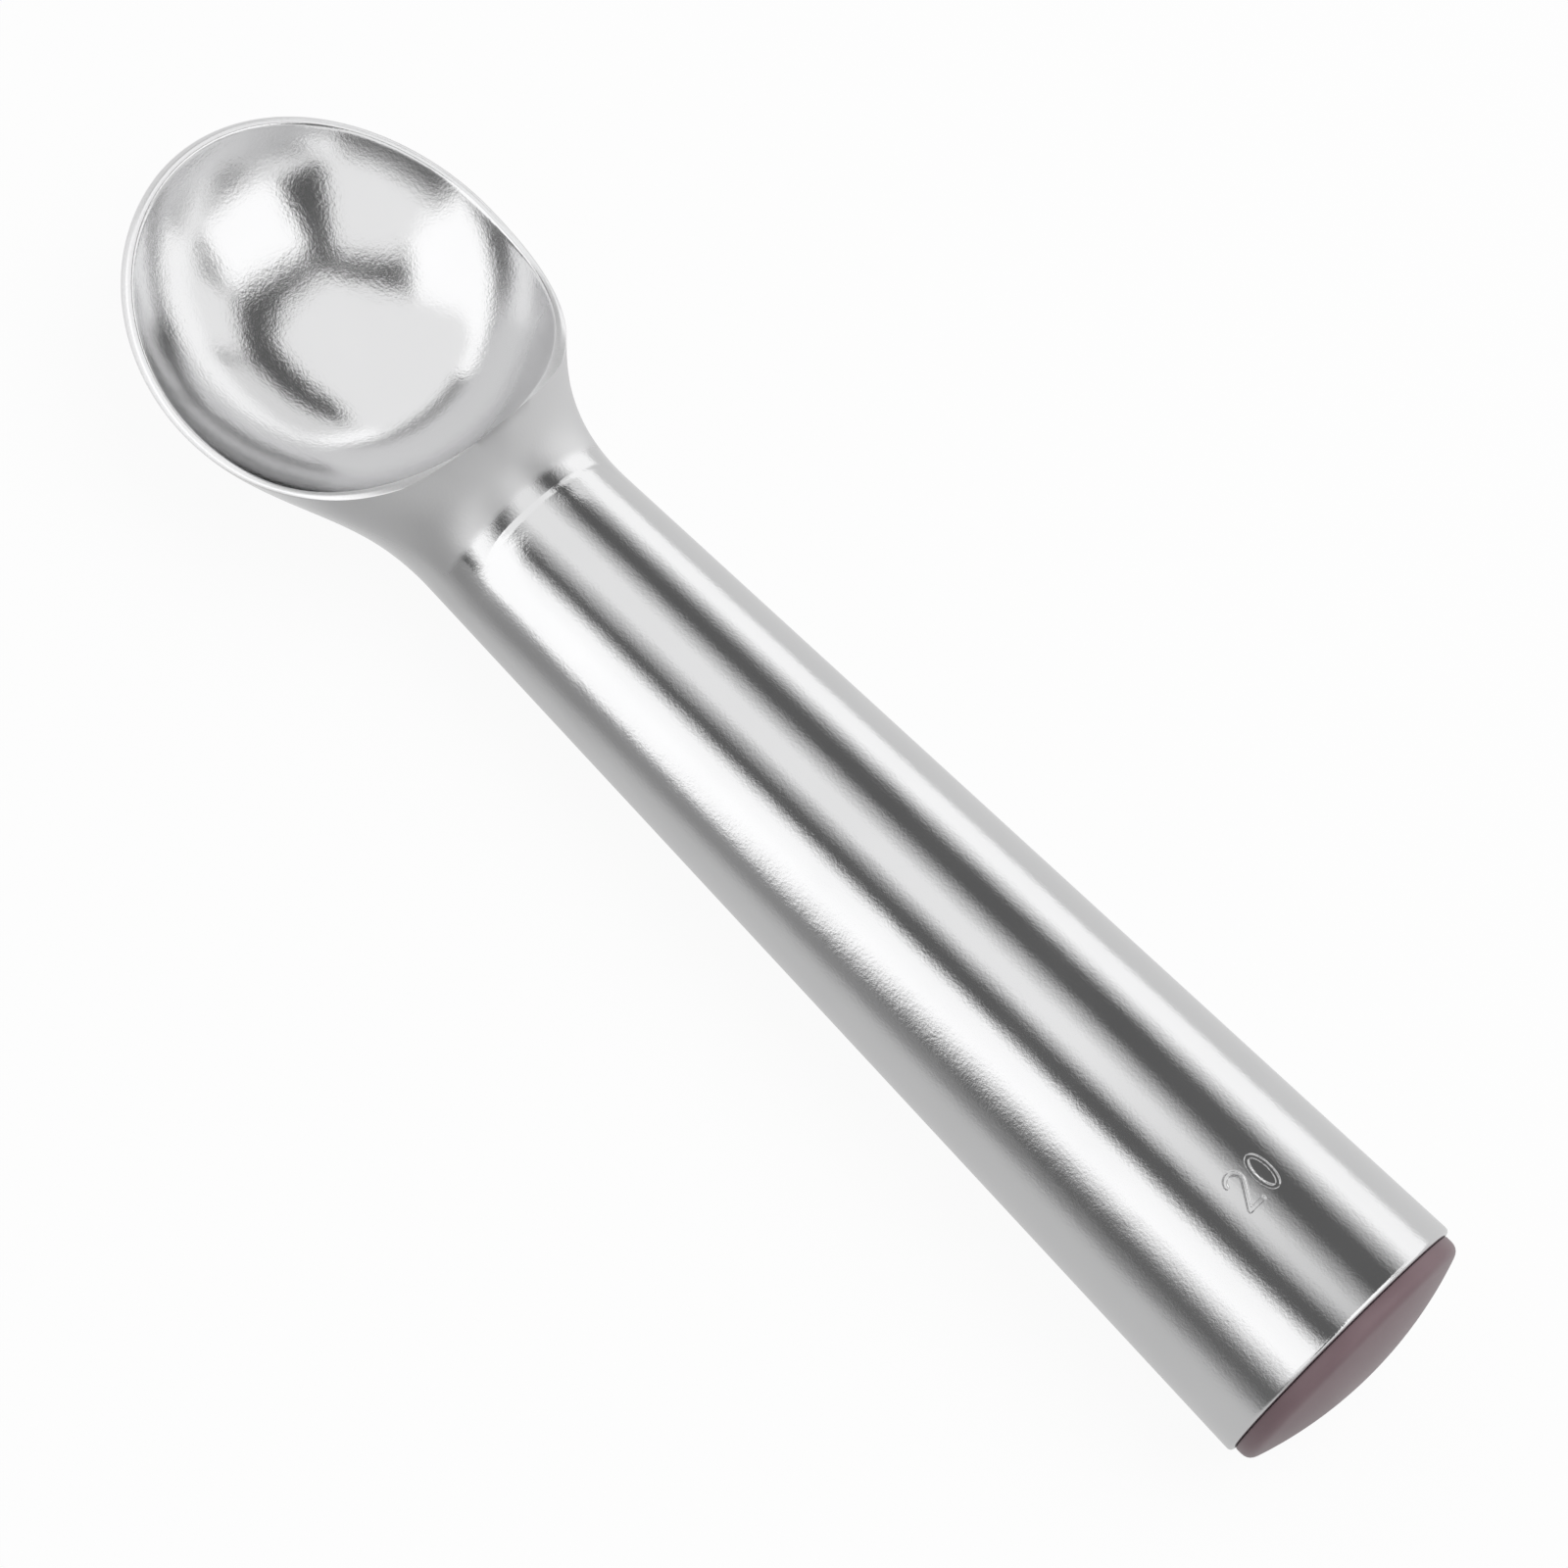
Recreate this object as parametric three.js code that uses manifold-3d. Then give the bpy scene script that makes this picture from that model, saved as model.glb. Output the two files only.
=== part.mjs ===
// Ice cream scoop of the self-defrosting kind: one cast aluminium body with a bowl, a neck and a tapered
// hollow handle, a liquid charge in the handle that carries the warmth of the hand to the bowl, a plug with
// a seal ring that keeps the liquid in, and a domed plastic cap over the handle's end.
// Millimetres, +Z up. The scoop lies on a table with its bowl open to the sky, the bowl towards +X.
// The casting is drawn in its own frame first: x runs along the handle's axis from the butt end.

import * as THREE from 'three';
import { mergeVertices } from 'three/addons/utils/BufferGeometryUtils.js';
import Module from 'manifold-3d';

const wasm = await Module();
wasm.setup();

// Handle
const handleLength = 120.3;
const handleEndRadius = 16;
const handleFrontRadius = 11.75;
const buttEdgeChamfer = 0.5;

// Shoulder where the handle's top steps down to the neck
const shoulderStep = 0.9;
const shoulderRun = 1.2;
const shoulderSpreadDegrees = 55;

// Neck, which swells into the bowl and tapers off under its floor
const neckStraightLength = 6.5;
const neckTaperLength = 28.5;
const neckFilletTop = 11.5;
const neckFilletUnder = 8.5;
const neckFilletBand = 0.5;

// Inside of the bowl, part of an egg-shaped hollow that is shallower towards the nose
const bowlCentreFromShoulder = 32.5;
const bowlCentreHeight = 17.5;
const bowlHalfLength = 24.6;
const bowlHalfWidth = 23.9;
const bowlDepth = 22;
const bowlNoseLift = 0.15;

// Outside of the bowl, an egg shape with its centre lower than the hollow's
const shellDrop = 2.3;

// Rim, seen from the side: high at the back, low at the sides, rising again to the nose
const rimLowBehindBowlCentre = 1.5;
const rimLowHeight = 6.5;
const rimFrontHeight = 10.8;
const rimBackHeight = 16.4;
const rimLand = 0.6;
const rimBevelDegrees = 55;
const rimBevelFadeDegrees = 60;

// Walls of the casting
const rimBackWall = 1.2;
const rimSideWall = 1.15;
const rimNoseWall = 1.65;
const floorWall = 6;
const handleWall = 3;
const neckMetal = 8.3;
const boreNoseLength = 6;

// Closure at the butt end
const plugSeatDepth = 16;
const plugSeatWall = 2.2;
const plugLength = 6.4;
const plugWall = 2;
const plugFloor = 2.2;
const ringSection = 1.8;
const pressClearance = 0.3;

// End cap
const capSetback = 0.65;
const capFlank = 1.6;
const capEdgeRound = 0.5;
const capDomeHeight = 2.8;
const capSkin = 1.8;

// Liquid charge: height of its surface above the handle's axis at the middle of the bore
const fluidSurfaceHeight = 5;

// Fineness of the round shapes
const roundSteps = 48;
const bowlRows = 11;
const neckRows = 18;
const handleRows = 5;
const noseRows = 3;
const ringSteps = 10;
const domeRows = 5;

const bowlCentreX = handleLength + bowlCentreFromShoulder;
const rimLowX = bowlCentreX - rimLowBehindBowlCentre;
const bowlBackX = bowlCentreX - bowlHalfLength;
const bowlFrontX = bowlCentreX + bowlHalfLength;
const boreEndX = handleLength - neckMetal;
const neckTaperX = handleLength + neckStraightLength;
const beyondBowl = bowlHalfLength + bowlHalfWidth + bowlDepth;

function smoothStep(value, low, high) {
  const share = Math.min(1, Math.max(0, (value - low) / (high - low)));
  return share * share * (3 - 2 * share);
}

function handleRadius(x) {
  return handleEndRadius + (handleFrontRadius - handleEndRadius) * x / handleLength;
}

function boreRadius(x) {
  return handleRadius(x) - handleWall;
}

const plugSeatRadius = handleRadius(plugSeatDepth) - plugSeatWall;

// Height of the rim over the handle's axis, two parabolas that meet at the rim's low point
function rimHeight(x) {
  const [endX, endHeight] = x > rimLowX ? [bowlFrontX, rimFrontHeight] : [bowlBackX, rimBackHeight];
  const share = (x - rimLowX) / (endX - rimLowX);
  return rimLowHeight + (endHeight - rimLowHeight) * share * share;
}

function rimSlope(x) {
  const [endX, endHeight] = x > rimLowX ? [bowlFrontX, rimFrontHeight] : [bowlBackX, rimBackHeight];
  return 2 * (endHeight - rimLowHeight) * (x - rimLowX) / (endX - rimLowX) ** 2;
}

// Egg shape, which may be shallower towards the nose: below zero inside, about in millimetres
function eggDistance(point, egg) {
  const along = (point.x - egg.centreX) / egg.halfLength;
  const across = point.y / egg.halfWidth;
  const down = (point.z - egg.centreHeight) / (egg.depth * (1 - egg.noseLift * along));
  return (Math.hypot(along, across, down) - 1) * egg.halfWidth;
}

const hollow = {
  centreX: bowlCentreX,
  centreHeight: bowlCentreHeight,
  halfLength: bowlHalfLength,
  halfWidth: bowlHalfWidth,
  depth: bowlDepth,
  noseLift: bowlNoseLift,
};

function hollowDistance(point) {
  return eggDistance(point, hollow);
}

// Last point of a path that is still inside a shape, found by halving the length in doubt
function lastInside(pathPoint, distance, length) {
  let inside = 0;
  let outside = length;
  let middle = length / 2;
  while (middle > inside && middle < outside) {
    if (distance(pathPoint(middle)) < 0) inside = middle;
    else outside = middle;
    middle = (inside + outside) / 2;
  }
  return pathPoint(inside);
}

// Point where a ray from inside a shape leaves it
function leavingPoint(start, direction, distance, length) {
  const pathPoint = (along) => start.clone().addScaledVector(direction, along);
  return lastInside(pathPoint, distance, length);
}

// Inner edge of the rim over a heading: no turn is the back, a quarter turn is +Y, half a turn the nose
function innerRimPoint(turn) {
  const pathPoint = (along) => {
    const x = bowlCentreX - along * Math.cos(turn);
    return new THREE.Vector3(x, along * Math.sin(turn), rimHeight(x));
  };
  return lastInside(pathPoint, hollowDistance, beyondBowl);
}

// Outside of the bowl: it passes the rim's back, sides and nose one wall away
function shellAroundRim() {
  const back = innerRimPoint(0);
  const side = innerRimPoint(Math.PI / 2);
  const nose = innerRimPoint(Math.PI);
  const centreHeight = bowlCentreHeight - shellDrop;
  const depth = bowlDepth + floorWall - shellDrop;
  const spanAt = (z) => Math.sqrt(1 - ((z - centreHeight) / depth) ** 2);
  const length = nose.x - back.x + rimBackWall + rimNoseWall;
  const halfLength = length / (spanAt(back.z) + spanAt(nose.z));
  const centreX = nose.x + rimNoseWall - halfLength * spanAt(nose.z);
  const along = (side.x - centreX) / halfLength;
  const halfWidth = (side.y + rimSideWall) / Math.sqrt(spanAt(side.z) ** 2 - along ** 2);
  return { centreX, centreHeight, halfLength, halfWidth, depth, noseLift: 0 };
}

const shell = shellAroundRim();

// Union of two shapes with a fillet where they meet
function filletedUnion(first, second, fillet) {
  const near = Math.max(fillet - Math.abs(first - second), 0) / fillet;
  return Math.min(first, second) - near * near * fillet / 4;
}

// Outside of the casting: the handle, and the neck that swells into the bowl
function skinDistance(point) {
  const radius = Math.hypot(point.y, point.z);
  const upward = radius > 0 ? point.z / radius : 0;
  const spread = Math.cos(THREE.MathUtils.degToRad(shoulderSpreadDegrees));
  const neckRadius = handleRadius(point.x) - shoulderStep * smoothStep(upward, spread, 1);
  const taper = Math.max(0, (point.x - neckTaperX) / neckTaperLength);
  const neck = (Math.hypot(taper, radius / neckRadius) - 1) * neckRadius;
  const higher = smoothStep(upward, -neckFilletBand, neckFilletBand);
  const fillet = THREE.MathUtils.lerp(neckFilletUnder, neckFilletTop, higher);
  const proud = radius - handleRadius(point.x);
  const shoulder = proud + (point.x - handleLength) * shoulderStep / shoulderRun;
  return Math.min(filletedUnion(neck, eggDistance(point, shell), fillet), Math.max(proud, shoulder));
}

// Every loop of the casting starts at its back or top and turns towards +Y
const turns = Array.from({ length: roundSteps }, (_, step) => 2 * Math.PI * step / roundSteps);

function circleLoop(x, radius) {
  return turns.map((turn) => new THREE.Vector3(x, radius * Math.sin(turn), radius * Math.cos(turn)));
}

// Direction away from the rim over a heading, falling by a slope below the rim's own climb
function awayFromRim(rimPoint, turn, fall) {
  const climb = -rimSlope(rimPoint.x) * Math.cos(turn);
  return new THREE.Vector3(-Math.cos(turn), Math.sin(turn), climb - fall);
}

// Outer edge of the flat land on top of the rim
function landLoop(innerRim) {
  return innerRim.map((point, step) => {
    return point.clone().addScaledVector(awayFromRim(point, turns[step], 0), rimLand);
  });
}

// Fall of the bevel that thins the rim from outside: it fades out towards the back, where the neck fills in
function bevelFall(turn) {
  const fadeEdge = Math.cos(THREE.MathUtils.degToRad(rimBevelFadeDegrees));
  const left = 1 - smoothStep(Math.cos(turn), fadeEdge, 1);
  return left * Math.tan(THREE.MathUtils.degToRad(rimBevelDegrees));
}

// Outer edge of the rim, down the bevel
function outerRimLoop(land) {
  return land.map((point, step) => {
    const direction = awayFromRim(point, turns[step], bevelFall(turns[step])).normalize();
    return leavingPoint(point, direction, skinDistance, bowlHalfWidth);
  });
}

// Rows of the bowl's inside, from its bottom up to the rim
function bowlLoops(innerRim) {
  const centre = new THREE.Vector3(bowlCentreX, 0, rimLowHeight);
  const down = new THREE.Vector3(0, 0, -1);
  const rows = Array.from({ length: bowlRows - 1 }, (_, row) => (row + 1) / bowlRows);
  return rows.map((share) => innerRim.map((edge) => {
    const toEdge = edge.clone().sub(centre).normalize();
    const swing = new THREE.Quaternion().setFromUnitVectors(down, toEdge);
    const part = new THREE.Quaternion().slerp(swing, share);
    return leavingPoint(centre, down.clone().applyQuaternion(part), hollowDistance, beyondBowl);
  }));
}

// Rows of the outside from the rim round under the bowl to the neck: each row's plane swings from lying
// flat at the rim to standing upright at the shoulder
function neckLoops(outerRim) {
  const start = new THREE.Vector3(bowlCentreX, 0, rimLowHeight - rimSideWall);
  const end = new THREE.Vector3(handleLength + shoulderRun, 0, 0);
  const swingAxis = new THREE.Vector3(0, 1, 0);
  const rows = Array.from({ length: neckRows }, (_, row) => (row + 1) / neckRows);
  return rows.map((share) => {
    const swing = (share + smoothStep(share, 0, 1)) / 2;
    const centre = start.clone().lerp(end, share);
    return outerRim.map((edge) => {
      const direction = edge.clone().sub(start).normalize();
      direction.z *= 1 - swing;
      direction.applyAxisAngle(swingAxis, swing * Math.PI / 2).normalize();
      return leavingPoint(centre, direction, skinDistance, beyondBowl);
    });
  });
}

// Handle, butt face, plug seat and bore, down to the bore's rounded nose
function handleLoops() {
  const loops = [];
  for (let row = 0; row < handleRows; row += 1) {
    const x = THREE.MathUtils.lerp(handleLength, buttEdgeChamfer, row / (handleRows - 1));
    loops.push(circleLoop(x, handleRadius(x)));
  }
  loops.push(circleLoop(0, handleRadius(0) - buttEdgeChamfer));
  loops.push(circleLoop(0, plugSeatRadius));
  loops.push(circleLoop(plugSeatDepth, plugSeatRadius));
  loops.push(circleLoop(plugSeatDepth, boreRadius(plugSeatDepth)));
  const noseX = boreEndX - boreNoseLength;
  for (let row = 0; row < noseRows; row += 1) {
    const angle = Math.PI / 2 * row / noseRows;
    loops.push(circleLoop(noseX + boreNoseLength * Math.sin(angle), boreRadius(noseX) * Math.cos(angle)));
  }
  return loops;
}

// Closed skin through a row of loops, drawn together to a point at both ends
function skinOfLoops(firstPoint, loops, lastPoint) {
  const points = [firstPoint, ...loops.flat(), lastPoint];
  const triangles = [];
  const at = (row, step) => 1 + row * roundSteps + step % roundSteps;
  const last = points.length - 1;
  for (let step = 0; step < roundSteps; step += 1) {
    triangles.push(0, at(0, step + 1), at(0, step));
    triangles.push(last, at(loops.length - 1, step), at(loops.length - 1, step + 1));
  }
  for (let row = 0; row + 1 < loops.length; row += 1) {
    for (let step = 0; step < roundSteps; step += 1) {
      triangles.push(at(row, step), at(row, step + 1), at(row + 1, step));
      triangles.push(at(row, step + 1), at(row + 1, step + 1), at(row + 1, step));
    }
  }
  const geometry = new THREE.BufferGeometry().setFromPoints(points);
  geometry.setIndex(triangles);
  return geometry;
}

function castingGeometry() {
  const innerRim = turns.map(innerRimPoint);
  const land = landLoop(innerRim);
  const outerRim = outerRimLoop(land);
  const loops = [
    ...bowlLoops(innerRim), innerRim, land, outerRim, ...neckLoops(outerRim), ...handleLoops(),
  ];
  const centre = new THREE.Vector3(bowlCentreX, 0, rimLowHeight);
  const bowlBottom = leavingPoint(centre, new THREE.Vector3(0, 0, -1), hollowDistance, beyondBowl);
  return skinOfLoops(bowlBottom, loops, new THREE.Vector3(boreEndX, 0, 0));
}

// Solid of revolution about the handle's axis, from points of x and radius
function turnedGeometry(profile) {
  const points = profile.map(([x, radius]) => new THREE.Vector2(radius, x));
  const geometry = new THREE.LatheGeometry(points, roundSteps);
  geometry.rotateZ(-Math.PI / 2);
  return geometry;
}

function solid(geometry) {
  const bare = geometry.clone();
  bare.deleteAttribute('normal');
  bare.deleteAttribute('uv');
  const merged = mergeVertices(bare);
  const vertProperties = new Float32Array(merged.attributes.position.array);
  const triVerts = new Uint32Array(merged.index.array);
  return new wasm.Manifold(new wasm.Mesh({ numProp: 3, vertProperties, triVerts }));
}

function geometryOf(manifold) {
  const mesh = manifold.getMesh();
  const geometry = new THREE.BufferGeometry();
  geometry.setAttribute('position', new THREE.BufferAttribute(mesh.vertProperties, 3));
  geometry.setIndex(new THREE.BufferAttribute(mesh.triVerts, 1));
  return geometry;
}

// The plug stops on the ledge at the end of its seat, open side to the butt, with a groove for its ring
const plugInnerX = plugSeatDepth - pressClearance;
const plugOuterX = plugInnerX - plugLength;
const plugRadius = plugSeatRadius - pressClearance;
const ringX = (plugInnerX + plugOuterX) / 2;
const grooveHalfWidth = ringSection / 2 + pressClearance;
const grooveRadius = plugRadius - ringSection - pressClearance;
const plugHollowRadius = grooveRadius - plugWall;

function plugGeometry() {
  return turnedGeometry([
    [plugInnerX - plugFloor, 0],
    [plugInnerX - plugFloor, plugHollowRadius],
    [plugOuterX, plugHollowRadius],
    [plugOuterX, plugRadius],
    [ringX - grooveHalfWidth, plugRadius],
    [ringX - grooveHalfWidth, grooveRadius],
    [ringX + grooveHalfWidth, grooveRadius],
    [ringX + grooveHalfWidth, plugRadius],
    [plugInnerX, plugRadius],
    [plugInnerX, 0],
  ]);
}

function ringGeometry() {
  const middleRadius = plugRadius - ringSection / 2;
  const geometry = new THREE.TorusGeometry(middleRadius, ringSection / 2, ringSteps, roundSteps);
  geometry.rotateY(Math.PI / 2);
  geometry.translate(ringX, 0, 0);
  return geometry;
}

// The cap's flange lies on the butt face, and its hollow spigot reaches down to the plug
const capRadius = handleEndRadius - capSetback;
const spigotEndX = plugOuterX - pressClearance;
const spigotRadius = plugSeatRadius - pressClearance;
const capDomeSpan = capRadius - capEdgeRound;
const capDomeRadius = (capDomeSpan ** 2 + capDomeHeight ** 2) / (2 * capDomeHeight);
const capFlankX = -pressClearance - capFlank;
const capEdgeX = capFlankX - capEdgeRound;

function capGeometry() {
  const dome = Array.from({ length: domeRows }, (_, row) => {
    const radius = capDomeSpan * row / domeRows;
    const drop = capDomeRadius - Math.sqrt(capDomeRadius ** 2 - radius ** 2);
    return [capEdgeX - capDomeHeight + drop, radius];
  });
  return turnedGeometry([
    ...dome,
    [capEdgeX, capDomeSpan],
    [capFlankX, capRadius],
    [-pressClearance, capRadius],
    [-pressClearance, spigotRadius],
    [spigotEndX, spigotRadius],
    [spigotEndX, spigotRadius - capSkin],
    [capEdgeX + capSkin, spigotRadius - capSkin],
    [capEdgeX + capSkin, 0],
  ]);
}

// The liquid fills the bore up to a level surface, with air above it
function fluidGeometry(tilt) {
  const startX = plugSeatDepth;
  const noseX = boreEndX - boreNoseLength;
  const filled = [[startX, 0], [startX, boreRadius(startX) - pressClearance]];
  for (let row = 0; row < noseRows; row += 1) {
    const angle = Math.PI / 2 * row / noseRows;
    const radius = (boreRadius(noseX) - pressClearance) * Math.cos(angle);
    filled.push([noseX + (boreNoseLength - pressClearance) * Math.sin(angle), radius]);
  }
  filled.push([boreEndX - pressClearance, 0]);
  const airHeight = 2 * handleEndRadius;
  const air = new THREE.BoxGeometry(2 * handleLength, airHeight, airHeight);
  air.translate(0, 0, airHeight / 2);
  air.rotateY(-tilt);
  air.translate((startX + boreEndX) / 2, 0, fluidSurfaceHeight);
  return geometryOf(solid(turnedGeometry(filled)).subtract(solid(air)));
}

// Angle by which the bowl end sinks until the bowl touches the table that the butt's edge lies on
function restTilt(casting) {
  const heel = new THREE.Vector3(buttEdgeChamfer, 0, -handleRadius(buttEdgeChamfer));
  const places = casting.attributes.position;
  let tilt = Math.PI / 2;
  for (let index = 0; index < places.count; index += 1) {
    const beyond = places.getX(index) - handleLength;
    const climb = Math.atan2(places.getZ(index) - heel.z, places.getX(index) - heel.x);
    if (beyond > 0) tilt = Math.min(tilt, climb);
  }
  return tilt;
}

function finish(colour, roughness, metalness) {
  return new THREE.MeshStandardMaterial({ color: colour, roughness, metalness });
}

function piece(name, geometry, material) {
  const mesh = new THREE.Mesh(geometry, material);
  mesh.name = name;
  return mesh;
}

const casting = castingGeometry();
const tilt = restTilt(casting);
const scoop = new THREE.Group();
scoop.rotation.y = tilt;
scoop.add(
  piece('scoop_casting', casting, finish(0xd3d4d5, 0.2, 1)),
  piece('heat_fluid', fluidGeometry(tilt), finish(0xbfd4d6, 0.1, 0)),
  piece('seal_plug', plugGeometry(), finish(0xaeb0b2, 0.45, 1)),
  piece('plug_seal_ring', ringGeometry(), finish(0x1c1c1e, 0.7, 0)),
  piece('end_cap', capGeometry(), finish(0x7d6d72, 0.35, 0)),
);

// The origin lies under the middle of the scoop, on the table
const part = new THREE.Group();
part.add(scoop);
const box = new THREE.Box3().setFromObject(part, true);
const middle = box.getCenter(new THREE.Vector3());
scoop.position.set(-middle.x, -middle.y, -box.min.z);

export default part;
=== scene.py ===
# %% [markdown]
# # A cast ice cream scoop in a light tent
#
# The scoop is one polished aluminium casting with a plum plastic cap pressed into the end of its
# handle. Polished metal has hardly any colour of its own: it shows what stands round it. So this lesson
# has two halves, a skin that is smooth enough to be a mirror, and a small studio that is worth
# reflecting.

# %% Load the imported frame
import math

import bpy
import numpy as np
from mathutils import Matrix, Vector


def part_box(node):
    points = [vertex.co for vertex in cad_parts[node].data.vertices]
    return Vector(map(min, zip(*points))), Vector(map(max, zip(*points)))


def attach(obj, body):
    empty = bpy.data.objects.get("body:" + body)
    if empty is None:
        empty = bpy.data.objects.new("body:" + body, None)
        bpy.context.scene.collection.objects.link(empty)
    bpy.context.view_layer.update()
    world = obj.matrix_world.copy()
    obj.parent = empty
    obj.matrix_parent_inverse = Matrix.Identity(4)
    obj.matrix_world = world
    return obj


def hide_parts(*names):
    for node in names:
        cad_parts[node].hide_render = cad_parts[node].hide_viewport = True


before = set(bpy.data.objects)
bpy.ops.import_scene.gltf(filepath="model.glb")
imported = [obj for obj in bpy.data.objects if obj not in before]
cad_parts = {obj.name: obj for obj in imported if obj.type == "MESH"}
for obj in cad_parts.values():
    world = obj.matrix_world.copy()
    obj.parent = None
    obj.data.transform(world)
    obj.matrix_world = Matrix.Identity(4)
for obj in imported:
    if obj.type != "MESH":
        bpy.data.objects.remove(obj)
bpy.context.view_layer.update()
for node in sorted(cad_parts):
    low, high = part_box(node)
    print(node, "is", [round(1000 * side, 1) for side in high - low], "mm")

# %% [markdown]
# ## How the scoop lies
#
# The scoop lies on its bowl and on the lower edge of its butt end, so its handle leans a little. The
# shapes are easier to write along the handle's own axis: x runs from the butt end to the bowl, z is up,
# all in millimetres. One function then leans and shifts the points into the frame, in metres.

# %% From the handle's axis to the table
METRES = 0.001
LEAN = math.radians(1.7335165)
BUTT_CENTRE = np.array([-86.0432024, 0.0, 15.9901470])


def to_table(points):
    """Lean points of the handle's own frame as the scoop lies, and turn millimetres into metres."""
    x, y, z = np.moveaxis(np.asarray(points, float), -1, 0)
    leaned = [x * math.cos(LEAN) + z * math.sin(LEAN), y, z * math.cos(LEAN) - x * math.sin(LEAN)]
    return (np.stack(leaned, axis=-1) + BUTT_CENTRE) * METRES


print("butt centre on the table:", to_table([0, 0, 0]).round(4))

# %% [markdown]
# ## The bowl's hollow
#
# The hollow is part of an egg that is shallower towards the nose. It could be sculpted, or lofted from
# a few curves, but a mirror shows every dent of those. Here the egg is a formula, and each point of the
# mesh is found by following a ray from inside until the formula says that it has left the metal's
# surface.

# %% Egg shapes and rays
HANDLE_LENGTH = 120.3
BOWL_CENTRE_X = HANDLE_LENGTH + 32.5
HALVINGS = 44


class Egg:
    """An egg shape that lifts towards its nose: its distance is below zero inside."""

    def __init__(self, centre_x, centre_height, half_length, half_width, depth, nose_lift):
        self.centre_x = centre_x
        self.centre_height = centre_height
        self.half_length = half_length
        self.half_width = half_width
        self.depth = depth
        self.nose_lift = nose_lift

    def distance(self, points):
        along = (points[..., 0] - self.centre_x) / self.half_length
        across = points[..., 1] / self.half_width
        down = (points[..., 2] - self.centre_height) / (self.depth * (1 - self.nose_lift * along))
        return (np.sqrt(along**2 + across**2 + down**2) - 1) * self.half_width


def last_inside(path, distance, count, length):
    """Last points of some paths that are still inside a shape, found by halving the length in doubt."""
    inside = np.zeros(count)
    outside = np.full(count, float(length))
    for _ in range(HALVINGS):
        middle = (inside + outside) / 2
        is_out = distance(path(middle)) > 0
        outside = np.where(is_out, middle, outside)
        inside = np.where(is_out, inside, middle)
    return path(inside)


def leave(start, directions, distance, length):
    """Where rays from inside a shape leave it."""
    def path(along):
        return start + directions * along[:, None]
    return last_inside(path, distance, len(directions), length)


def unit(vectors):
    return vectors / np.linalg.norm(vectors, axis=-1, keepdims=True)


hollow = Egg(
    BOWL_CENTRE_X, centre_height=17.5, half_length=24.6, half_width=23.9, depth=22.0, nose_lift=0.15,
)
BEYOND_BOWL = hollow.half_length + hollow.half_width + hollow.depth
print("hollow from x", BOWL_CENTRE_X - hollow.half_length, "to", BOWL_CENTRE_X + hollow.half_length)

# %% [markdown]
# ## The rim
#
# Seen from the side the rim is a saddle: high at the back, low at the sides and rising again to the
# nose, two parabolas that meet at the low point. Every loop of the mesh has the same headings, from the
# back round by +Y. The headings lie closer together at the back, because the same rows later carry the
# number on the handle.

# %% Headings and the rim's inner edge
TOP_HALF_TURN = math.radians(11.5)
TOP_STEPS = 96
ROUND_STEPS = 240
RIM_LOW_X = BOWL_CENTRE_X - 1.5
RIM_LOW_HEIGHT = 6.5
RIM_FRONT_HEIGHT = 10.8
RIM_BACK_HEIGHT = 16.4
FRONT_RUN = BOWL_CENTRE_X + hollow.half_length - RIM_LOW_X
BACK_RUN = RIM_LOW_X - BOWL_CENTRE_X + hollow.half_length

turns = np.concatenate([
    np.linspace(-TOP_HALF_TURN, TOP_HALF_TURN, TOP_STEPS, endpoint=False),
    np.linspace(TOP_HALF_TURN, 2 * math.pi - TOP_HALF_TURN, ROUND_STEPS, endpoint=False),
])
headings = np.stack([-np.cos(turns), np.sin(turns), np.zeros_like(turns)], axis=-1)


def rim_curve(x):
    """How steeply the rim climbs away from its low point, in front and behind."""
    front = (RIM_FRONT_HEIGHT - RIM_LOW_HEIGHT) / FRONT_RUN**2
    back = (RIM_BACK_HEIGHT - RIM_LOW_HEIGHT) / BACK_RUN**2
    return np.where(x > RIM_LOW_X, front, back)


def rim_height(x):
    return RIM_LOW_HEIGHT + rim_curve(x) * (x - RIM_LOW_X) ** 2


def inner_rim(flat_headings):
    """The rim's inner edge over some headings from the bowl's centre."""
    def path(along):
        x = BOWL_CENTRE_X + along * flat_headings[:, 0]
        return np.stack([x, along * flat_headings[:, 1], rim_height(x)], axis=-1)
    return last_inside(path, hollow.distance, len(flat_headings), BEYOND_BOWL)


inner_edge = inner_rim(headings)
print("mouth of the bowl:", np.ptp(inner_edge, axis=0).round(2), "mm")

# %% [markdown]
# ## The outside of the casting
#
# Outside, a second egg holds the bowl, thin at the rim and thick under the floor. A neck that tapers
# off under the bowl joins it with a fillet, and the handle's top steps down to that neck at a small
# shoulder. The edges of the shoulder are softened by the same kind of fillet, as a buffing wheel leaves
# them.

# %% Outer egg, neck, handle and shoulder as one shape
RIM_BACK_WALL = 1.2
RIM_SIDE_WALL = 1.15
RIM_NOSE_WALL = 1.65
FLOOR_WALL = 6.0
SHELL_DROP = 2.3
HANDLE_END_RADIUS = 16.0
HANDLE_FRONT_RADIUS = 11.75
NECK_TAPER_X = HANDLE_LENGTH + 6.5
NECK_TAPER_LENGTH = 28.5
NECK_FILLET_UNDER = 8.5
NECK_FILLET_TOP = 11.5
NECK_FILLET_BAND = 0.5
SHOULDER_STEP = 0.9
SHOULDER_RUN = 1.2
SHOULDER_SPREAD = math.cos(math.radians(55))
CREST_ROUND = 0.3
FOOT_ROUND = 0.5
TINY = 1e-9


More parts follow.
